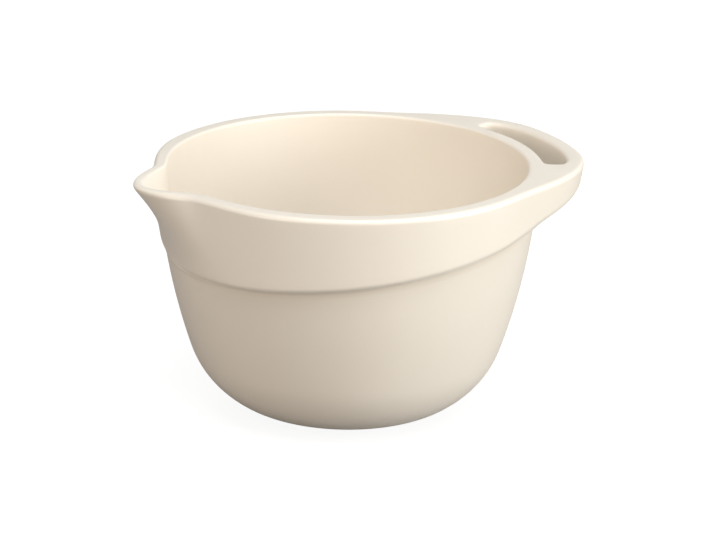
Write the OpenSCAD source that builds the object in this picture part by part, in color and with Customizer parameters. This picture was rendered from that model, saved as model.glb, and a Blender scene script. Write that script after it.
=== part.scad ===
// Batter bowl: a deep glazed stoneware mixing bowl with a raised band round the rim,
// a pinched pouring spout and, opposite it, a flat loop handle with a finger slot.
// All sizes are in millimetres and angles in degrees. Z is up and the foot stands on z = 0.
// The bowl's axis is the Z axis, the spout points along -X and the handle along +X.

/* [Bowl] */
// Height of the rim above the table
rim_height = 155.5; // [130:0.5:190]
// Outer radius of the bowl wall at the rim, before the band is added
wall_radius = 117.3; // [95:0.1:135]
// Thickness of the wall
wall = 6.7; // [5:0.1:8.5]
// Thickness of the floor above the foot
floor_thick = 8; // [6:0.5:12]
// Rounding of the rim's inner edge
rim_round = 1.6; // [1:0.1:3]

/* [Wall curve] */
// Lean of the wall at the rim, from the vertical
rim_lean = 1.2; // [0:0.1:4]
// Lean where the long curve meets the belly
belly_lean = 17.8; // [15:0.1:20]
// Profile radius of the belly
belly_curve = 60; // [50:1:70]
// Lean where the belly meets the heel
heel_lean = 55; // [48:0.5:60]
// Profile radius of the heel
heel_curve = 34.5; // [28:0.5:38]

/* [Foot] */
// Height of the bare foot ring
foot_height = 3.2; // [2:0.1:4]
// How far the foot ring stands out past the lowest line of the heel
foot_step = 1; // [0:0.1:3]
// Width of the foot ring
foot_width = 10.5; // [7:0.5:14]
// Chamfer on the foot ring's lower edges
foot_chamfer = 0.8; // [0.3:0.1:1.2]

/* [Rim band] */
// How far the band stands out from the wall at the rim
band_thick = 4.2; // [3.8:0.1:6]
// How much the band narrows for each millimetre down
band_draft = 0.05; // [0:0.01:0.08]
// Depth of the band, rim to lower edge, measured at the bowl's axis
band_depth = 38.2; // [34:0.1:46]
// Tilt of the band's lower edge: deep at the spout, shallow at the handle
band_tilt = 7; // [4:0.1:8]
// Rounding of the band's upper outer edge
band_round = 3; // [2:0.1:5]
// Rounding of the band's lower outer edge
band_foot_round = 4; // [2:0.1:5]
// Gap between the band and the wall that it lies on
seat_gap = 0.12; // [0.1:0.01:0.2]

/* [Handle] */
// How far the handle reaches out past the band
handle_out = 26.8; // [24:0.1:34]
// How much more than the band the handle narrows for each millimetre down
handle_draft = 0.1; // [0:0.01:0.2]
// Half angle of the handle's blunt end
blunt_angle = 12; // [6:0.5:16]
// Half angle where the handle runs out into the band
handle_angle = 58; // [50:0.5:66]
// How far the handle's underside rises from the band to its outer end
handle_lift = 3.4; // [2:0.1:6]
// Rounding of the handle's lower outer edge
handle_foot_round = 5; // [4:0.1:8]
// Thickness of the band left standing behind the finger slot, at the rim
slot_wall = 3; // [2.8:0.1:4]
// Width of the finger slot
slot_width = 17.4; // [15:0.1:19]
// Half angle of the finger slot
slot_angle = 22.8; // [18:0.1:28]
// Squareness of the slot's outer corners: 2 is an ellipse
slot_square = 2.8; // [2.2:0.1:4]
// Squareness of its inner corners, next to the bowl
slot_square_in = 8; // [4:0.5:12]
// Rounding of the slot's edges
slot_round = 2.4; // [1:0.1:3]

/* [Spout] */
// How far the spout's tip reaches out past the band
spout_out = 19.2; // [15:0.1:24]
// Half angle of the beak at the rim
spout_angle = 15.3; // [13:0.1:18]
// Half angle of the hollow under the beak, at the band's lower edge
hollow_angle = 30; // [26:0.5:32]
// Half angle of the pouring channel on the inside
channel_angle = 16; // [14:0.5:18]
// Thickness of the spout's lip at its tip
lip = 7; // [6.4:0.1:8]
// Rounding of the lip's outer edge at the tip
lip_round = 4.4; // [3:0.1:4.5]
// Roundness of the spout's tip, as an angle
tip_angle = 8.8; // [6:0.1:11]
// Roundness of the channel's tip, as an angle
channel_tip = 3; // [2:0.1:5]
// Softness of the curve where the flanks leave the band
flank_soft = 0.22; // [0.1:0.01:0.3]
// How far the rim dips to the spout's tip
tip_dip = 2; // [0:0.1:4]
// Half angle over which the rim dips
dip_angle = 30; // [24:0.5:32]
// How far the band is drawn in on both sides of the spout, at the rim
pinch = 3; // [0:0.1:3.2]
// How far it is drawn in at its lower edge
pinch_low = 1.4; // [0:0.1:2.5]
// Half angle over which the band is drawn in
pinch_angle = 46; // [40:1:60]
// How sharply the keel sweeps up to the tip: 1 is straight
keel_power = 1.64; // [1.2:0.02:2]

/* [Hidden] */
$fn = 180;

glaze = [0.90, 0.85, 0.75];
bare_clay = [0.74, 0.64, 0.52];
far = 400;
// How far the heel's lowest line would lie below the top of the foot
heel_sink = 0.4;
// Lean where the inside of the belly turns in to the floor
inner_heel_lean = 45;
// Flat left beside a rounding, and the largest share of a thickness or a height that one takes
land = 0.2;
edge_share = 0.42;
// How soon the handle's underside lifts and its draft sets in, where it leaves the band
lift_power = 0.25;
draft_power = 0.35;
// How softly the channel's sides and floor run out on the wall
channel_soft = 0.1;
channel_blend = 2;
// How far the finger slot's cut runs past the handle's faces
slot_past = 5;
// Steps along the arcs of the profile, round the rim and round an edge, and their crowding at the tip
wall_steps = 16;
belly_steps = 14;
heel_steps = 10;
band_steps = 40;
spout_steps = 44;
handle_steps = 44;
slot_steps = 28;
edge_steps = 5;
edge_turn = 90 / edge_steps;
tip_crowd = 0.55;
// Rows of points up the band's seat, up the channel, down the spout's flank and along the handle's underside
seat_rows = 5;
channel_rows = 4;
flank_rows = 9;
under_rows = 5;
// How far the spout piece runs past its own curves, as an angle
seam_past = 2;

// The outside of the wall is a chain of three arcs, each tangent to the next.
// The long upper one is as large as it takes to bring the heel down to the foot.
function steps(from, to, n) = [for (i = [0:n]) from + (to - from) * i / n];
function lean_dir(a) = [cos(a), -sin(a)];
function arc(centre, radius, from, to, n) = [for (a = steps(from, to, n)) centre + radius * lean_dir(a)];
function tail(points) = [for (i = [1:len(points) - 1]) points[i]];
heel_low = foot_height - heel_sink;
wall_curve = (rim_height - heel_low - belly_curve * (sin(heel_lean) - sin(belly_lean))
    - heel_curve * (1 - sin(heel_lean))) / (sin(belly_lean) - sin(rim_lean));
rim_point = [wall_radius, rim_height];
wall_centre = rim_point - wall_curve * lean_dir(rim_lean);
belly_centre = wall_centre + (wall_curve - belly_curve) * lean_dir(belly_lean);
heel_centre = belly_centre + (belly_curve - heel_curve) * lean_dir(heel_lean);
foot_lean = asin((heel_centre[1] - foot_height) / heel_curve);
foot_radius = heel_centre[0] + foot_step;

// The inside is the same chain moved in by the wall, then one arc that lands flat on the floor.
floor_z = foot_height + floor_thick;
inner_heel_point = belly_centre + (belly_curve - wall) * lean_dir(inner_heel_lean);
inner_heel_curve = (inner_heel_point[1] - floor_z) / (1 - sin(inner_heel_lean));
inner_heel_centre = inner_heel_point - inner_heel_curve * lean_dir(inner_heel_lean);

function arc_r(centre, radius, z) = centre[0] + sqrt(max(0, pow(radius, 2) - pow(z - centre[1], 2)));
function wall_out(z) = arc_r(wall_centre, wall_curve, z);
function wall_in(z) = arc_r(wall_centre, wall_curve - wall, z);

// Radii that the band, handle and spout reach, and the spout piece's own half angle.
band_radius = wall_radius + band_thick;
spout_reach = band_radius + spout_out;
seam_angle = max(hollow_angle, channel_angle, dip_angle) + seam_past;

// Lower edge of the band: one plane, tilted about the Y axis.
band_z = rim_height - band_depth;
function edge_z(x) = band_z + tan(band_tilt) * x;

function smooth(t) = let (s = min(1, max(0, t))) s * s * (3 - 2 * s);
function soft_plus(x, c) = (x + sqrt(x * x + c * c)) / 2;

// Handle: share of its reach at an angle a off the +X axis.
function lobe(a) = smooth((handle_angle - abs(a)) / (handle_angle - blunt_angle));

// Finger slot: a rounded outline in plan, grown by its edge rounding, as points [angle, radius].
// At t = -1 and 1 it is at its ends. Its outer side is side 1 and its inner side is side -1.
slot_mid = wall_radius + slot_wall + slot_width / 2;
degree = PI / 180;
function slot_bulge(s, square) = pow(1 - pow(abs(s), square), 1 / square);
function slot_point(t, side, grow) = [
    (slot_angle + grow / (degree * slot_mid)) * sin(90 * t),
    slot_mid + side * (slot_width / 2 + grow)
        * slot_bulge(sin(90 * t), side > 0 ? slot_square : slot_square_in)];
function slot_ring(grow) = let (half = steps(-1, 1, slot_steps)) concat(
    [for (i = [slot_steps:-1:1]) slot_point(half[i], -1, grow)],
    [for (i = [0:slot_steps - 1]) slot_point(half[i], 1, grow)]);

// Spout: share of its reach at an angle u off the -X axis, for a half angle, a tip and a softness.
function off_tip(u, tip) = sqrt(u * u + tip * tip) - tip;
function beak(u, half, tip, soft) = soft_plus(1 - off_tip(u, tip) / off_tip(half, tip), soft)
    / soft_plus(1, soft);
keel_z = edge_z(-wall_radius);
keel_foot = wall_out(keel_z);
function keel_t(z) = min(1, max(0, (z - keel_z) / (rim_height - keel_z)));
function keel(z) = keel_foot + (spout_reach - keel_foot) * pow(keel_t(z), keel_power);

// The beak is narrow at the rim and opens to a wide hollow at the band's lower edge.
function beak_angle(z) = hollow_angle + (spout_angle - hollow_angle) * keel_t(z);
function drawn_in(z) = pinch_low + (pinch - pinch_low) * keel_t(z);

// Outer and inner faces of the ring of band, handle and spout, at angle a and height z.
function band_r(z) = band_radius - band_draft * (rim_height - z);
function handle_r(a, z) = band_r(z) + handle_out * lobe(a)
    - handle_draft * (rim_height - z) * pow(lobe(a), draft_power);
function drawn_r(u, z) = band_r(z) - drawn_in(z) * smooth((pinch_angle - u) / (pinch_angle - spout_angle));
function spout_u(a) = abs(180 - abs(a));
function spout_r(u, z) = let (base = drawn_r(u, z))
    base + (keel(z) - base) * beak(u, beak_angle(z), tip_angle, flank_soft);
function outer_r(a, z) = abs(a) < 90 ? handle_r(a, z) : spout_r(spout_u(a), z);
function channel_r(a, z) = wall_in(z) + soft_plus(keel(z) - lip - wall_in(z), channel_blend)
    * beak(spout_u(a), channel_angle, channel_tip, channel_soft);
function seat_r(z) = wall_out(z) + seat_gap;
function inner_r(a, z, spout) = spout ? channel_r(a, z) : seat_r(z);

// Heights of the rim, which dips a little to the spout's tip, and of the lower edge.
function near_tip(a) = smooth(1 - spout_u(a) / dip_angle);
function rim_z(a) = rim_height - tip_dip * near_tip(a);
function lift(a, r) = abs(a) > 90 ? 0
    : handle_lift * pow(max(0, r - band_radius) / handle_out, lift_power);
function low_z(a, r) = edge_z(r * cos(a)) + lift(a, r);

// Edge roundings. They fade where one feature runs out into the next.
function top_round(a) = band_round + (lip_round - band_round) * near_tip(a);
function low_rise(a) = band_foot_round
    + (handle_foot_round - band_foot_round) * (abs(a) < 90 ? lobe(a) : 0);
function low_room(a, z) = max(0, outer_r(a, z) - seat_r(z) - land);

// One upright section at angle a, of the spout or of the band and handle, as points [radius, height]:
// from the lower inner edge, up the inner side, over the top, down the outer side and along the underside.
function section(a, spout, n_in, n_out, n_low) = let (
    top = rim_z(a),
    in_bottom = low_z(a, inner_r(a, low_z(a, inner_r(a, top, spout)), spout)),
    out_bottom = low_z(a, outer_r(a, low_z(a, outer_r(a, top)))),
    thick = outer_r(a, top) - inner_r(a, top, spout),
    tall = top - out_bottom,
    inner_edge = spout ? min(rim_round, edge_share * thick) : 0,
    top_edge = min(top_round(a), thick - inner_edge - land, edge_share * tall),
    low_edge = min(low_rise(a), edge_share * tall),
    low_in = min(low_edge, low_room(a, out_bottom)),
    low_from = outer_r(a, out_bottom) - low_in,
    low_to = inner_r(a, in_bottom, spout)
) concat(
    [for (i = [0:n_in]) let (z = in_bottom + (top - inner_edge - in_bottom) * i / (n_in + 1))
        [inner_r(a, z, spout), z]],
    [for (q = spout ? round_edge : square_edge) let (z = top - inner_edge * (1 - sin(q)))
        [inner_r(a, z, spout) + inner_edge * (1 - cos(q)), z]],
    [for (q = [90:-edge_turn:0]) let (z = top - top_edge * (1 - sin(q)))
        [outer_r(a, z) - top_edge * (1 - cos(q)), z]],
    [for (i = [1:1:n_out]) let (z = top - top_edge - (tall - top_edge - low_edge) * i / (n_out + 1))
        [outer_r(a, z), z]],
    [for (q = [0:edge_turn:90]) let (
        r = outer_r(a, out_bottom + low_edge * (1 - sin(q))) - low_in * (1 - cos(q)))
        [r, low_z(a, r) + low_edge * (1 - sin(q))]],
    [for (i = [1:1:n_low]) let (r = low_from + (low_to - low_from) * i / (n_low + 1))
        [r, low_z(a, r)]]
);

// A solid through a row of rings, each with as many points as the next, closed about the middle of its ends.
function middle(ring) = [for (i = [0:len(ring) - 1]) 1] * ring / len(ring);
module skin(rings) {
    n = len(rings[0]);
    last = (len(rings) - 1) * n;
    first_middle = last + n;
    sides = [for (i = [0:len(rings) - 2], j = [0:n - 1]) let (
        p = i * n + j, q = i * n + (j + 1) % n)
        each [[p, p + n, q], [q, p + n, q + n]]];
    caps = [for (j = [0:n - 1]) let (k = (j + 1) % n)
        each [[first_middle, j, k], [first_middle + 1, last + k, last + j]]];
    points = concat([for (ring = rings) each ring], [middle(rings[0]), middle(rings[len(rings) - 1])]);
    polyhedron(points, concat(sides, caps), convexity = 8);
}

// A solid through a row of sections, one at each angle in the list.
function at(a, r, z) = [r * cos(a), r * sin(a), z];
module loft(angles, spout, n_in, n_out, n_low) {
    skin([for (a = angles) [for (p = section(a, spout, n_in, n_out, n_low)) at(a, p[0], p[1])]]);
}

square_edge = [90];
round_edge = [0, 30, 60, 90];

// Cut for the finger slot, flared at both faces of the handle by the rounding of its edges.
module finger_slot() {
    flare = [for (q = round_edge) slot_round * [1 - cos(q), 1 - sin(q)]];
    last = len(flare) - 1;
    low = concat([[slot_round, -slot_past]], [for (i = [last:-1:0]) flare[i]]);
    high = concat([for (f = flare) [f[0], -f[1]]], [[slot_round, slot_past]]);
    skin(concat(
        [for (f = low) [for (p = slot_ring(f[0])) at(p[0], p[1], low_z(p[0], p[1]) + f[1])]],
        [for (f = high) [for (p = slot_ring(f[0])) at(p[0], p[1], rim_height + f[1])]]));
}

// Half sections of the thrown bowl. The base is the floor, heel and belly, and the wall stands on it.
base_z = (belly_centre + belly_curve * lean_dir(belly_lean))[1];
base_lean = asin((belly_centre[1] - base_z) / (belly_curve - wall));
rim_edge_z = rim_height - rim_round;
rim_edge_centre = [wall_in(rim_edge_z) + rim_round, rim_edge_z];
rim_edge_lean = asin((wall_centre[1] - rim_edge_z) / (wall_curve - wall));
base_section = concat(
    arc(belly_centre, belly_curve, belly_lean, heel_lean, belly_steps),
    tail(arc(heel_centre, heel_curve, heel_lean, foot_lean, heel_steps)),
    [[0, foot_height], [0, floor_z]],
    arc(inner_heel_centre, inner_heel_curve, 90, inner_heel_lean, heel_steps),
    tail(arc(belly_centre, belly_curve - wall, inner_heel_lean, base_lean, belly_steps))
);
wall_section = concat(
    arc(wall_centre, wall_curve, rim_lean, belly_lean, wall_steps),
    arc(belly_centre, belly_curve - wall, base_lean, belly_lean, 1),
    tail(arc(wall_centre, wall_curve - wall, belly_lean, rim_edge_lean, wall_steps)),
    tail(arc(rim_edge_centre, rim_round, 180, 270, edge_steps))
);

// Opening cut in the wall for the spout: a wedge about -X, above the band's lower edge.
module spout_notch() {
    intersection() {
        translate([0, 0, band_z]) rotate([0, -band_tilt, 0]) translate([-far, -far, 0]) cube(2 * far);
        linear_extrude(height = far)
            polygon([[0, 0], [-far, far * tan(seam_angle)], [-far, -far * tan(seam_angle)]]);
    }
}

// Base of the bowl: the floor, the heel above the foot and the belly.
module bowl_base() {
    color(glaze) rotate_extrude() polygon(base_section);
}

// Wall of the bowl: one long curve up to the rim, open where the spout is set in.
module bowl_wall() {
    color(glaze) difference() {
        rotate_extrude() polygon(wall_section);
        spout_notch();
    }
}

// Turned foot that the bowl stands on, left bare of glaze.
module foot_ring() {
    inner = foot_radius - foot_width;
    c = foot_chamfer;
    color(bare_clay) rotate_extrude() polygon([
        [inner + c, 0], [foot_radius - c, 0], [foot_radius, c],
        [foot_radius, foot_height], [inner, foot_height], [inner, c]]);
}

// Band laid round the wall, one length on each side between the spout and the handle.
module rim_band_left() {
    color(glaze) loft(steps(handle_angle, 180 - seam_angle, band_steps), false, seat_rows, 0, 0);
}

module rim_band_right() {
    color(glaze) loft(steps(seam_angle - 180, -handle_angle, band_steps), false, seat_rows, 0, 0);
}

// Spout set in the wall: a channel inside, a beak outside and a keel that runs out on the wall.
// Its sections lie closer together towards the tip.
module pouring_spout() {
    angles = [for (t = steps(-1, 1, spout_steps)) 180 + seam_angle * t * (1 - tip_crowd * (1 - abs(t)))];
    color(glaze) loft(angles, true, channel_rows, flank_rows, 0);
}

// Loop handle: a flat lobe that runs out into the band on both sides, with the finger slot cut through it.
module loop_handle() {
    color(glaze) difference() {
        loft(steps(-handle_angle, handle_angle, handle_steps), false, seat_rows, 0, under_rows);
        finger_slot();
    }
}

bowl_base();
bowl_wall();
foot_ring();
rim_band_left();
rim_band_right();
pouring_spout();
loop_handle();
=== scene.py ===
import math

import bpy
import numpy as np
from mathutils import Matrix, Vector


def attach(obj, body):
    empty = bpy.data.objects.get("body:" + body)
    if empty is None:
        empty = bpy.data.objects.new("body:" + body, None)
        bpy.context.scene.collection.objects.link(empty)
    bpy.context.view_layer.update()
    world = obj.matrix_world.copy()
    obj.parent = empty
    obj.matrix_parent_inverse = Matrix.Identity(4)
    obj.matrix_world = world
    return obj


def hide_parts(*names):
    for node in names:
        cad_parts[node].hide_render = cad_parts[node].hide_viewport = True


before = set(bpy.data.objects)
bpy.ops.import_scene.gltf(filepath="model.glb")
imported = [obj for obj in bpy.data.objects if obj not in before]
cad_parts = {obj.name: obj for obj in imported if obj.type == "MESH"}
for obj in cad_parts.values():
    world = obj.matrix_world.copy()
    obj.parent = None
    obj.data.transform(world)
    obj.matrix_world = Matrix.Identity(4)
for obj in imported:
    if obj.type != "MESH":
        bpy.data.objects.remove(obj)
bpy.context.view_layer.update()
MM = 0.001


# Sizes of the bowl, in millimetres and degrees, as in the part's source

rim_height = 155.5
wall_radius = 117.3
wall = 6.7
floor_thick = 8
rim_round = 1.6
rim_lean = 1.2
belly_lean = 17.8
belly_curve = 60
heel_lean = 55
heel_curve = 34.5
inner_heel_lean = 45
foot_height = 3.2
foot_step = 1
foot_width = 10.5
band_radius = wall_radius + 4.2
band_draft = 0.05
band_z = rim_height - 38.2
band_slope = math.tan(math.radians(7))
band_round = 3
band_foot_round = 4
handle_out = 26.8
handle_draft = 0.1
draft_power = 0.35
blunt_angle = 12
handle_angle = 58
handle_lift = 3.4
lift_power = 0.25
handle_foot_round = 5
slot_wall = 3
slot_width = 17.4
slot_angle = 22.8
slot_square = 2.8
slot_square_in = 8
slot_round = 2.4
spout_reach = band_radius + 19.2
spout_angle = 15.3
hollow_angle = 30
channel_angle = 16
lip = 7
lip_round = 4.4
tip_angle = 8.8
channel_tip = 3
flank_soft = 0.22
channel_soft = 0.1
tip_dip = 2
dip_angle = 30
pinch = 3
pinch_low = 1.4
pinch_angle = 46
keel_power = 1.64
channel_reach = 60
channel_run = 30
channel_foot = 2
band_fillet_out, band_fillet_down = 2, 2.4
handle_fillet_out, handle_fillet_down = 8, 7


# Profile of the thrown bowl: tangent arcs outside, and the same moved in by the wall inside

def sin(a):
    return math.sin(math.radians(a))


def cos(a):
    return math.cos(math.radians(a))


def smooth(t):
    t = min(1, max(0, t))
    return t * t * (3 - 2 * t)


def mix(a, b, t):
    return a + (b - a) * t


def soft_plus(x, c):
    return (x + math.sqrt(x * x + c * c)) / 2


def lean_dir(a):
    return np.array((cos(a), -sin(a)))


wall_curve = (rim_height - foot_height + 0.4 - belly_curve * (sin(heel_lean) - sin(belly_lean))
              - heel_curve * (1 - sin(heel_lean))) / (sin(belly_lean) - sin(rim_lean))
wall_centre = np.array((wall_radius, rim_height)) - wall_curve * lean_dir(rim_lean)
belly_centre = wall_centre + (wall_curve - belly_curve) * lean_dir(belly_lean)
heel_centre = belly_centre + (belly_curve - heel_curve) * lean_dir(heel_lean)
belly_top = belly_centre[1] - belly_curve * sin(belly_lean)
foot_radius = heel_centre[0] + foot_step
floor_z = foot_height + floor_thick
inner_heel_point = belly_centre + (belly_curve - wall) * lean_dir(inner_heel_lean)
inner_heel_curve = (inner_heel_point[1] - floor_z) / (1 - sin(inner_heel_lean))
inner_heel_centre = inner_heel_point - inner_heel_curve * lean_dir(inner_heel_lean)
inner_belly_top = wall_centre[1] - (wall_curve - wall) * sin(belly_lean)


def wall_out(z):
    return wall_centre[0] + math.sqrt(wall_curve ** 2 - (z - wall_centre[1]) ** 2)


def wall_in(z):
    return wall_centre[0] + math.sqrt((wall_curve - wall) ** 2 - (z - wall_centre[1]) ** 2)


# Handle, spout and band round the rim, at angle a off the handle and height z

def edge_z(x):
    return band_z + band_slope * x


def lobe(a):
    return smooth((handle_angle - abs(a)) / (handle_angle - blunt_angle))


def off_tip(u, tip):
    return math.sqrt(u * u + tip * tip) - tip


def beak(u, half, tip, soft):
    return soft_plus(1 - off_tip(u, tip) / off_tip(half, tip), soft) / soft_plus(1, soft)


keel_z = edge_z(-wall_radius)
keel_foot = wall_out(keel_z)


def keel_share(z):
    return min(1, max(0, (z - keel_z) / (rim_height - keel_z)))


def keel(z):
    return keel_foot + (spout_reach - keel_foot) * keel_share(z) ** keel_power


def off_spout(a):
    return abs(180 - abs(a))


def near_tip(a):
    return smooth(1 - off_spout(a) / dip_angle)


def outer_r(a, z):
    base = band_radius - band_draft * (rim_height - z)
    if abs(a) < 90:
        share = lobe(a)
        return base + handle_out * share - handle_draft * (rim_height - z) * share ** draft_power
    u, t = off_spout(a), keel_share(z)
    base -= mix(pinch_low, pinch, t) * smooth((pinch_angle - u) / (pinch_angle - spout_angle))
    return base + (keel(z) - base) * beak(u, mix(hollow_angle, spout_angle, t), tip_angle, flank_soft)


def inner_r(a, z):
    u = off_spout(a)
    if u > channel_reach:
        return wall_in(z)
    deep = soft_plus(keel(z) - lip - wall_in(max(z, keel_z)), channel_foot)
    deep *= smooth((z - keel_z + channel_run) / channel_run)
    return wall_in(z) + deep * beak(u, channel_angle, channel_tip, channel_soft)


def rim_z(a):
    return rim_height - tip_dip * near_tip(a)


def low_z(a, r):
    lift = handle_lift * (max(0, r - band_radius) / handle_out) ** lift_power if abs(a) < 90 else 0
    return edge_z(r * cos(a)) + lift


# Columns of the skin round the bowl: even along the slot, then closer at the tip of the spout

slot_mid = wall_radius + slot_wall + slot_width / 2
slot_long = math.radians(slot_angle) * slot_mid
slot_half = slot_width / 2
slot_columns = 11
slot_rows = 6
slot_rings = 3
ring_turn = 3.5
ring_step = 0.9
handle_columns, side_columns, spout_columns = 13, 19, 24

# Squareness of the slot's inner (-1) and outer (1) corners, and how far along the slot they begin
slot_power = {-1: slot_square_in, 1: slot_square}
slot_share = {-1: 0.92, 1: 0.8}
corner_turn = {o: math.degrees(math.acos(slot_share[o] ** (slot_power[o] / 2))) for o in (-1, 1)}


def to_angle(x):
    return math.degrees(x / slot_mid)


def corner(out, long, wide, turn):
    power = 2 / slot_power[out]
    return long * cos(turn) ** power, wide * sin(turn) ** power


corner_x = slot_long * (slot_share[-1] + slot_share[1]) / 2
half = [to_angle(corner_x * i / slot_columns) for i in range(1, slot_columns + 1)]
half += [to_angle(corner_x + ring_step * k) for k in range(1, slot_rings + 1)]
last_ring = slot_columns + slot_rings
start = half[-1]
half += [mix(start, handle_angle, (i / handle_columns) ** 1.15) for i in range(1, handle_columns + 1)]
half += [mix(handle_angle, 180 - pinch_angle, i / side_columns) for i in range(1, side_columns + 1)]
half += [180 - pinch_angle * (1 - i / spout_columns) ** 1.5 for i in range(1, spout_columns + 1)]
columns = 2 * len(half)
angles = [0] + half + [-a for a in reversed(half[:-1])]


def signed(c):
    return c if c <= columns // 2 else c - columns


# The slot's rings, from its wall (ring 0) to the flat round it (last ring): place in plan and drop

def slot_place(n, j):
    m = max(0, abs(n) - slot_columns)
    q = max(0, -j, j - slot_rows)
    k = max(m, q)
    turn = 90 * k / slot_rings
    grow = slot_round * (1 - cos(turn))
    drop = slot_round * (1 - sin(turn))
    long, wide, spread = slot_long + grow, slot_half + grow, ring_turn * k
    side = 1 if n >= 0 else -1
    out = 1 if j > slot_rows / 2 else -1
    if abs(n) >= slot_columns and q == 0:
        y_in = corner(-1, long, wide, corner_turn[-1] - spread)[1]
        y_out = corner(1, long, wide, corner_turn[1] - spread)[1]
        y = mix(-y_in, y_out, j / slot_rows)
        power = slot_power[1 if y > 0 else -1]
        x = side * long * (1 - (abs(y) / wide) ** power) ** (1 / power)
    elif abs(n) <= slot_columns:
        power = slot_power[out]
        x = corner(out, long, wide, corner_turn[out] + spread)[0] * n / slot_columns
        y = out * wide * (1 - (abs(x) / long) ** power) ** (1 / power)
        if 0 < j < slot_rows:
            y = mix(-slot_half, slot_half, j / slot_rows)
    else:
        turn = corner_turn[out]
        turn += spread * (1 - m / k) if q == k else -spread * (1 - q / k)
        x, y = corner(out, long, wide, turn)
        x, y = side * x, out * y
    return x, y, drop


def resample(points, count):
    """Points evenly along a line, both ends among them."""
    points = np.array(points)
    run = np.concatenate(([0], np.cumsum(np.linalg.norm(np.diff(points, axis=0), axis=1))))
    at = np.linspace(0, run[-1], count)
    return [np.array((np.interp(t, run, points[:, 0]), np.interp(t, run, points[:, 1]))) for t in at]


top_lines = slot_rows + 2 * slot_rings + 3
arc_lines = 5


def rim_parts(a):
    top = rim_z(a)
    thick = outer_r(a, top) - inner_r(a, top)
    e_in = min(rim_round, 0.42 * thick)
    e_out = min(mix(band_round, lip_round, near_tip(a)), thick - e_in - 0.2)
    return top, e_in, e_out


def rim_line(a):
    """Over the rim, from the inner wall to the outer side, as points [radius, height]."""
    top, e_in, e_out = rim_parts(a)
    inside = [(inner_r(a, z) + e_in * (1 - cos(q)), z)
              for q in range(0, 91, 15) for z in [top - e_in * (1 - sin(q))]]
    outside = [(outer_r(a, z) - e_out * (1 - cos(q)), z)
               for q in range(90, -1, -15) for z in [top - e_out * (1 - sin(q))]]
    return inside, outside


def low_parts(a):
    outer_low = outer_r(a, low_z(a, outer_r(a, rim_z(a))))
    bottom = low_z(a, outer_low)
    share = lobe(a) if abs(a) < 90 else 0
    room = max(0.02, outer_low - wall_out(bottom))
    rise = mix(band_foot_round, handle_foot_round, share)
    go_in = min(rise, 0.6 * room)
    hollow = min(mix(band_fillet_out, handle_fillet_out, share), room - go_in)
    fall = mix(band_fillet_down, handle_fillet_down, share)
    return outer_low, bottom, rise, go_in, hollow, fall


def low_foot(a):
    """Height and radius where the underside would meet the wall."""
    z = low_z(a, wall_out(low_z(a, wall_radius)))
    return z, wall_out(z)


def under(a, tau):
    """A point of the underside: tau is its distance from the wall, or below zero its depth down the wall."""
    hollow, fall = low_parts(a)[4:]
    z0, w = low_foot(a)
    if tau <= 0:
        z = z0 - fall + tau
        return wall_out(z), z
    r = w + tau
    drop = 0
    if tau < hollow:
        t = 1 - tau / hollow
        drop = fall * (1 - math.sqrt(max(0, 1 - t * t)))
    return r, low_z(a, r) - drop


def low_round(a):
    bottom, rise, go_in = low_parts(a)[1:4]
    points = []
    for q in range(0, 91, 15):
        r = outer_r(a, bottom + rise * (1 - sin(q))) - go_in * (1 - cos(q))
        points.append((r, low_z(a, r) + rise * (1 - sin(q))))
    return points


def low_line(a):
    """Under the band or handle, from the outer side to the wall."""
    points = low_round(a)
    hollow = low_parts(a)[4]
    start = max(hollow, points[-1][0] - low_foot(a)[1])
    taus = [mix(start, hollow, i / 4) for i in range(1, 5)] if start > hollow + 0.05 else []
    taus += [hollow * (1 - sin(q)) for q in range(10, 90, 10)] + [0, -1.5, -3]
    return points + [under(a, t) for t in taus]


# Rows of the skin, from the middle of the floor to the middle of the underside

floor_radii = (9, 19, 29, 39, 48)
base_radii = (52, 40, 25, 10)
inner_heel_rows, inner_belly_rows, inner_wall_rows = 6, 4, 14
side_rows, wall_rows, belly_rows, heel_rows = 7, 12, 9, 7


def fade(a):
    """1 along the slot and round its ends, 0 where the handle runs out into the band."""
    return 1 - smooth((abs(a) - start_angle) / (fade_angle - start_angle))


start_angle = half[last_ring - 1]
fade_angle = 50
ring_in, ring_out = rim_line(start_angle)
ring_r0, ring_r1 = ring_in[-1][0], ring_out[0][0]
ring_low = low_round(start_angle)[-1][0] - low_foot(start_angle)[1]


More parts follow.
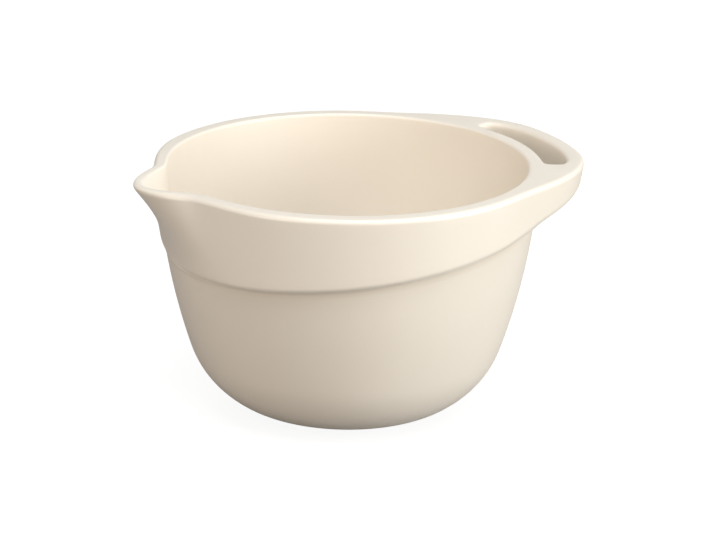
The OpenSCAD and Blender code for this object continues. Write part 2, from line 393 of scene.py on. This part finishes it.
def skin_column(c):
    n = signed(c)
    a = angles[c]
    rows = []

    def put(r, z, at=None):
        rows.append((a if at is None else at, r, z))

    for r in floor_radii:
        put(r, floor_z)
    for i in range(inner_heel_rows):
        lean = mix(90, inner_heel_lean, i / inner_heel_rows)
        put(*(inner_heel_centre + inner_heel_curve * lean_dir(lean)))
    for i in range(inner_belly_rows):
        lean = mix(inner_heel_lean, belly_lean, i / inner_belly_rows)
        put(*(belly_centre + (belly_curve - wall) * lean_dir(lean)))
    top, e_in = rim_parts(a)[:2]
    for i in range(inner_wall_rows):
        z = mix(inner_belly_top, top - e_in, 1 - (1 - i / inner_wall_rows) ** 1.5)
        put(inner_r(a, z), z)

    # over the rim
    inside, outside = rim_line(a)
    count = 2 * arc_lines + top_lines
    plain = resample(inside + outside, count)
    h = fade(a)
    if h > 0:
        edge_in = resample(inside, arc_lines + 1)
        edge_out = resample(outside, arc_lines + 1)
        made = [(a, *p) for p in edge_in[:-1]]
        r0, r1 = edge_in[-1][0], edge_out[0][0]
        for line in range(top_lines):
            j = line - slot_rings - 1
            if line == 0 or line == top_lines - 1:
                made.append((a, r0 if line == 0 else r1, top))
                continue
            m = n if abs(n) <= last_ring else int(math.copysign(last_ring, n))
            x, y, drop = slot_place(m, j)
            r, at = slot_mid + y, to_angle(x)
            if abs(n) > last_ring:
                shift = abs(at) - start_angle
                at = math.copysign(abs(a) + shift * fade(a), a)
                r = mix(r0, r1, (r - ring_r0) / (ring_r1 - ring_r0))
                drop = 0
            made.append((at, r, top - drop))
        made += [(a, *p) for p in edge_out[1:]]
        for p, g in zip(plain, made):
            put(mix(p[0], g[1], h), mix(p[1], g[2], h), mix(a, g[0], h))
    else:
        for p in plain:
            put(*p)

    # down the outer side
    z0, z1 = plain[-1][1], low_round(a)[0][1]
    for i in range(1, side_rows):
        z = mix(z0, z1, i / side_rows)
        put(outer_r(a, z), z)

    # under the band and the handle
    plain = resample(low_line(a), count)
    if h > 0:
        edge_out = resample(low_round(a), arc_lines + 1)
        made = [(a, *p) for p in edge_out]
        tau_out = edge_out[-1][0] - low_foot(a)[1]
        for line in range(1, top_lines - 1):
            j = slot_rows + slot_rings + 1 - line
            m = n if abs(n) <= last_ring else int(math.copysign(last_ring, n))
            x, y, drop = slot_place(m, j)
            at = to_angle(x)
            tau = slot_mid + y - low_foot(at)[1]
            if abs(n) > last_ring:
                shift = abs(at) - start_angle
                at = math.copysign(abs(a) + shift * fade(a), a)
                tau *= tau_out / ring_low
                drop = 0
            r, z = under(at, tau)
            made.append((at, r, z + drop))
        tau_in = tau
        for i in range(1, arc_lines + 1):
            made.append((a, *under(a, tau_in * (1 - sin(90 * i / (arc_lines + 1))))))
        made.append((a, *under(a, -1.5)))
        for p, g in zip(plain, made):
            put(mix(p[0], g[1], h), mix(p[1], g[2], h), mix(a, g[0], h))
    else:
        for p in plain:
            put(*p)

    # down the wall to the foot
    z0 = rows[-1][2]
    for i in range(1, wall_rows):
        z = mix(z0, belly_top, (i / wall_rows) ** 1.35)
        put(wall_out(z), z)
    for i in range(belly_rows):
        put(*(belly_centre + belly_curve * lean_dir(mix(belly_lean, heel_lean, i / belly_rows))))
    foot_lean = math.degrees(math.asin((heel_centre[1] - foot_height) / heel_curve))
    for i in range(heel_rows + 1):
        put(*(heel_centre + heel_curve * lean_dir(mix(heel_lean, foot_lean, i / heel_rows))))
    for r in base_radii:
        put(r, foot_height)
    return rows


# Tools of the bench

def edit(obj):
    bpy.ops.object.select_all(action="DESELECT")
    bpy.context.view_layer.objects.active = obj
    obj.select_set(True)
    bpy.ops.object.mode_set(mode="EDIT")
    bpy.ops.mesh.select_all(action="DESELECT")


def leave():
    bpy.ops.object.mode_set(mode="OBJECT")


def pick(obj, kind, test):
    """In edit mode: selects the vertices, edges or faces that pass a test."""
    bpy.ops.mesh.select_mode(type={"vertices": "VERT", "edges": "EDGE", "polygons": "FACE"}[kind])
    bpy.ops.mesh.select_all(action="DESELECT")
    leave()
    for item in getattr(obj.data, kind):
        item.select = test(item)
    bpy.ops.object.mode_set(mode="EDIT")


def finish_with(obj, kind, **settings):
    bpy.ops.object.select_all(action="DESELECT")
    bpy.context.view_layer.objects.active = obj
    obj.select_set(True)
    mod = obj.modifiers.new(kind.title(), kind)
    for key, value in settings.items():
        setattr(mod, key, value)
    bpy.ops.object.modifier_apply(modifier=mod.name)


def thrown(name, rings):
    """A pot raised ring by ring from a circle, as rings of [radius, height]."""
    bpy.ops.object.select_all(action="DESELECT")
    r, z = rings[0]
    bpy.ops.mesh.primitive_circle_add(vertices=columns, radius=r * MM, location=(0, 0, z * MM))
    obj = bpy.context.object
    obj.name = name
    obj.data.name = name
    bpy.ops.object.transform_apply(location=True, rotation=True, scale=True)
    edit(obj)
    bpy.ops.mesh.select_all(action="SELECT")
    for nr, nz in rings[1:]:
        bpy.ops.mesh.extrude_edges_move(TRANSFORM_OT_translate={"value": (0, 0, (nz - z) * MM)})
        k = nr / r
        bpy.ops.transform.resize(value=(k, k, 1), center_override=(0, 0, nz * MM))
        r, z = nr, nz
    leave()
    return obj


# The glazed bowl: one skin over base, wall, band, spout and handle

skin = [skin_column(c) for c in range(columns)]
row_count = len(skin[0])
quarter = skin[min(range(columns), key=lambda c: abs(angles[c] - 90))]
bowl = thrown("glazed_bowl", [(r, z) for a, r, z in quarter])
for c in range(columns):
    for i, (a, r, z) in enumerate(skin[c]):
        bowl.data.vertices[i * columns + c].co = Vector((r * cos(a), r * sin(a), z)) * MM

top_first = len(floor_radii) + inner_heel_rows + inner_belly_rows + inner_wall_rows + arc_lines
low_first = top_first + top_lines + arc_lines + side_rows - 1 + arc_lines
slot_top = [top_first + slot_rings + 1 + j for j in range(slot_rows + 1)]
slot_low = [low_first + slot_rings + 1 + j for j in range(slot_rows + 1)]


def in_patch(item, rows):
    return all(rows[0] <= v // columns <= rows[-1] and abs(signed(v % columns)) <= slot_columns
               for v in item.vertices)


edit(bowl)
for ring in (0, row_count - 1):
    pick(bowl, "vertices", lambda v: v.index // columns == ring)
    bpy.ops.mesh.edge_face_add()
pick(bowl, "polygons", lambda f: in_patch(f, slot_top) or in_patch(f, slot_low))
bpy.ops.mesh.delete(type="FACE")
bpy.ops.mesh.select_mode(type="EDGE")
bpy.ops.mesh.select_non_manifold(extend=False)
bpy.ops.mesh.bridge_edge_loops(number_cuts=5, interpolation="LINEAR")
bpy.ops.mesh.select_all(action="SELECT")
bpy.ops.mesh.normals_make_consistent(inside=False)
leave()
finish_with(bowl, "SUBSURF", levels=1, render_levels=1)
bpy.ops.object.shade_smooth()

# The bare foot: a turned ring, its edges worn soft

bpy.ops.object.select_all(action="DESELECT")
bpy.ops.mesh.primitive_cylinder_add(vertices=128, radius=foot_radius * MM, depth=(foot_height + 0.3) * MM,
                                    end_fill_type="NGON", location=(0, 0, (foot_height + 0.3) / 2 * MM))
foot = bpy.context.object
foot.name = foot.data.name = "bare_foot"
bpy.ops.object.transform_apply(location=True, rotation=True, scale=True)
edit(foot)
pick(foot, "polygons", lambda f: abs(f.normal.z) > 0.9)
bpy.ops.mesh.inset(thickness=foot_width * MM)
bpy.ops.mesh.delete(type="FACE")
bpy.ops.mesh.select_mode(type="EDGE")
bpy.ops.mesh.select_non_manifold(extend=False)
bpy.ops.mesh.bridge_edge_loops()
bpy.ops.mesh.select_all(action="SELECT")
bpy.ops.mesh.normals_make_consistent(inside=False)
leave()
finish_with(foot, "BEVEL", width=0.8 * MM, segments=3, limit_method="ANGLE")
bpy.ops.object.shade_smooth_by_angle(angle=math.radians(40))


# Materials

class Wire:
    """A value socket that can be reckoned with."""

    def __init__(self, tree, socket):
        self.tree = tree
        self.socket = socket

    def reckon(self, operation, a, b):
        return make(self.tree, "ShaderNodeMath", {"operation": operation}, {0: a, 1: b})

    def __add__(self, other):
        return self.reckon("ADD", self, other)

    def __sub__(self, other):
        return self.reckon("SUBTRACT", self, other)

    def __rsub__(self, other):
        return self.reckon("SUBTRACT", other, self)

    def __mul__(self, other):
        return self.reckon("MULTIPLY", self, other)

    __radd__ = __add__
    __rmul__ = __mul__


def make(tree, kind, settings=None, sockets=None, out=0):
    """Any node: its type, its settings, and the values or wires of its sockets."""
    node = tree.nodes.new(kind)
    for key, value in (settings or {}).items():
        setattr(node, key, value)
    for key, value in (sockets or {}).items():
        if isinstance(value, Wire):
            tree.links.new(value.socket, node.inputs[key])
        else:
            node.inputs[key].default_value = value
    return Wire(tree, node.outputs[out]) if node.outputs else node


def new_material(name):
    mat = bpy.data.materials.new(name)
    mat.use_nodes = True
    mat.node_tree.nodes.clear()
    return mat, mat.node_tree


def finish_material(tree, shader):
    make(tree, "ShaderNodeOutputMaterial", {}, {"Surface": shader})


def noise(tree, place, scale, detail, roughness=0.5):
    return make(tree, "ShaderNodeTexNoise", {}, {"Vector": place, "Scale": scale, "Detail": detail,
                                                 "Roughness": roughness})


def between(tree, value, low, high):
    """0 below low, 1 above high, and a soft step between."""
    return make(tree, "ShaderNodeMapRange", {"interpolation_type": "SMOOTHSTEP"},
                {"Value": value, "From Min": low, "From Max": high})


def blend(tree, factor, a, b):
    return make(tree, "ShaderNodeMix", {"data_type": "RGBA"}, {0: factor, 6: a, 7: b}, out=2)


def magnitude(tree, value):
    return make(tree, "ShaderNodeMath", {"operation": "ABSOLUTE"}, {0: value})


def cream_glaze():
    mat, tree = new_material("cream_glaze")
    place = make(tree, "ShaderNodeTexCoord", out="Object")
    parts = make(tree, "ShaderNodeSeparateXYZ", {}, {0: place})
    x, y, z = (Wire(tree, o) for o in parts.socket.node.outputs)

    cloud = noise(tree, place, 9, 2)
    flow = noise(tree, place, 38, 3)
    peel = noise(tree, place, 380, 2)
    ripple = noise(tree, place, 16, 1)

    # painted shade darkens the glaze in the crease under the band, and the glaze thins to a toasted line at
    # the foot
    below = z - x * band_slope - band_z * MM
    round_axis = make(tree, "ShaderNodeVectorMath", {"operation": "LENGTH"},
                      {0: make(tree, "ShaderNodeCombineXYZ", {}, {0: x, 1: y})}, out="Value")
    band_crease_shade = 1 - between(tree, magnitude(tree, below + 0.0030), 0.0, 0.0035)
    band_crease_shade = band_crease_shade * between(tree, round_axis, 0.1115, 0.1135)
    toast = 1 - between(tree, z + flow * 0.0015, 0.0042, 0.0066)

    tone = between(tree, cloud * 0.7 + flow * 0.3, 0.30, 0.70)
    colour = blend(tree, tone, (0.848, 0.776, 0.676, 1), (0.864, 0.793, 0.696, 1))
    # painted shade: a darker brown along the crease under the band, outside the bowl only
    colour = blend(tree, band_crease_shade * 0.30, colour, (0.70, 0.585, 0.45, 1))
    colour = blend(tree, toast * 0.75, colour, (0.42, 0.29, 0.18, 1))

    bump = make(tree, "ShaderNodeBump", {}, {"Strength": 0.25, "Distance": 0.0006,
                                             "Height": ripple + flow * 0.10 + peel * 0.03})
    shader = make(tree, "ShaderNodeBsdfPrincipled", {}, {
        "Base Color": colour, "Roughness": 0.36 + flow * 0.06 + toast * 0.3,
        "Normal": bump, "IOR": 1.5, "Coat Weight": 0.15, "Coat Roughness": 0.18})
    finish_material(tree, shader)
    return mat


def bare_clay():
    mat, tree = new_material("bare_clay")
    place = make(tree, "ShaderNodeTexCoord", out="Object")
    grit = noise(tree, place, 900, 4, 0.7)
    patch = noise(tree, place, 60, 3)
    speck = between(tree, noise(tree, place, 1500, 1), 0.66, 0.72)
    colour = blend(tree, patch, (0.50, 0.375, 0.255, 1), (0.62, 0.49, 0.35, 1))
    colour = blend(tree, grit * 0.4, colour, (0.40, 0.28, 0.18, 1))
    colour = blend(tree, speck * 0.5, colour, (0.22, 0.13, 0.08, 1))
    bump = make(tree, "ShaderNodeBump", {}, {"Strength": 0.5, "Distance": 0.0003, "Height": grit})
    shader = make(tree, "ShaderNodeBsdfPrincipled", {}, {
        "Base Color": colour, "Roughness": 0.82 + patch * 0.1, "Normal": bump})
    finish_material(tree, shader)
    return mat


bowl.data.materials.clear()
bowl.data.materials.append(cream_glaze())
foot.data.materials.clear()
foot.data.materials.append(bare_clay())
for piece, nodes, slot in (
        (bowl, ("bowl_base", "bowl_wall", "rim_band_left", "rim_band_right",
                "pouring_spout", "loop_handle"), "glaze"),
        (foot, ("foot_ring",), "bare_clay")):
    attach(piece, "root")
    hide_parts(*nodes)


# Camera, at the photograph's viewing angle

view_turn, view_rise, view_roll = -23.3, 19.235, 1.023
view_distance, view_lens = 1.3, 104.54
aim_height, aim_right = 84.255, 7.043
back = Vector((sin(view_turn) * cos(view_rise), -cos(view_turn) * cos(view_rise), sin(view_rise)))
right = Vector((cos(view_turn), sin(view_turn), 0))
up = back.cross(right)
aim = Vector((0, 0, aim_height * MM)) + right * aim_right * MM
side_axis = right * cos(view_roll) + up * sin(view_roll)
up_axis = up * cos(view_roll) - right * sin(view_roll)
camera = bpy.data.objects.new("camera", bpy.data.cameras.new("camera"))
bpy.context.scene.collection.objects.link(camera)
camera.data.sensor_width = 36
camera.data.lens = view_lens
turn = Matrix((side_axis, up_axis, back)).transposed().to_4x4()
camera.matrix_world = Matrix.Translation(aim + back * view_distance) @ turn
bpy.context.scene.camera = camera


# Floor, light and world

bpy.ops.object.select_all(action="DESELECT")
bpy.ops.mesh.primitive_plane_add(size=30, location=(0, 0, -0.0002))
floor = bpy.context.object
floor.name = floor.data.name = "floor"


def seen(tree):
    """1 where the camera or a clear piece looks at the background, and a part of 1 in a gloss."""
    path = make(tree, "ShaderNodeLightPath")
    rays = {o.name: Wire(tree, o) for o in path.socket.node.outputs}
    total = rays["Is Camera Ray"] + rays["Is Glossy Ray"] * 0.1 + rays["Is Transmission Ray"]
    return make(tree, "ShaderNodeClamp", {}, {"Value": total})


mat, tree = new_material("pale_floor")
bounce = make(tree, "ShaderNodeBsdfDiffuse", {}, {"Color": (0.26, 0.252, 0.245, 1)})
shade = make(tree, "ShaderNodeBsdfDiffuse", {}, {"Color": (0.18, 0.18, 0.18, 1)})
glow = make(tree, "ShaderNodeEmission", {}, {"Color": (1, 1, 1, 1), "Strength": 0.90})
lit = make(tree, "ShaderNodeAddShader", {}, {0: shade, 1: glow})
finish_material(tree, make(tree, "ShaderNodeMixShader", {}, {0: seen(tree), 1: bounce, 2: lit}))
floor.data.materials.append(mat)

world = bpy.data.worlds.new("studio")
bpy.context.scene.world = world
world.use_nodes = True
tree = world.node_tree
tree.nodes.clear()
soft = make(tree, "ShaderNodeBackground", {}, {"Color": (1, 1, 1, 1), "Strength": 0.21})
white = make(tree, "ShaderNodeBackground", {}, {"Color": (1, 1, 1, 1), "Strength": 1.0})
shown = make(tree, "ShaderNodeMixShader", {}, {0: seen(tree), 1: soft, 2: white})
make(tree, "ShaderNodeOutputWorld", {}, {"Surface": shown})


def lamp(name, spot, size, watts, tint):
    data = bpy.data.lights.new(name, "AREA")
    data.shape = "DISK"
    data.size = size
    data.energy = watts
    data.color = tint
    obj = bpy.data.objects.new(name, data)
    bpy.context.scene.collection.objects.link(obj)
    obj.location = spot
    obj.rotation_euler = (Vector((0, 0, 0.09)) - spot).to_track_quat("-Z", "Y").to_euler()
    return obj


front = Vector((back.x, back.y, 0)).normalized()
lamp("key", right * 1.75 + front * 0.62 + Vector((0, 0, 0.28)), 1.4, 40.8, (1.0, 1.0, 0.97))
lamp("fill", right * -1.2 + front * 1.5 + Vector((0, 0, 0.7)), 1.2, 14.4, (1.0, 0.87, 0.74))
lamp("top", right * 0.1 + front * 0.55 + Vector((0, 0, 1.65)), 1.3, 20.8, (0.92, 0.965, 1.0))
# the rear lamp lights the back of the bowl and stays out of the gloss of the rim
rear = lamp("rear", right * 0.1 + front * -1.9 + Vector((0, 0, 0.45)), 0.9, 15, (1.0, 0.96, 0.92))
rear.visible_glossy = False

bpy.context.scene.view_settings.view_transform = "Standard"
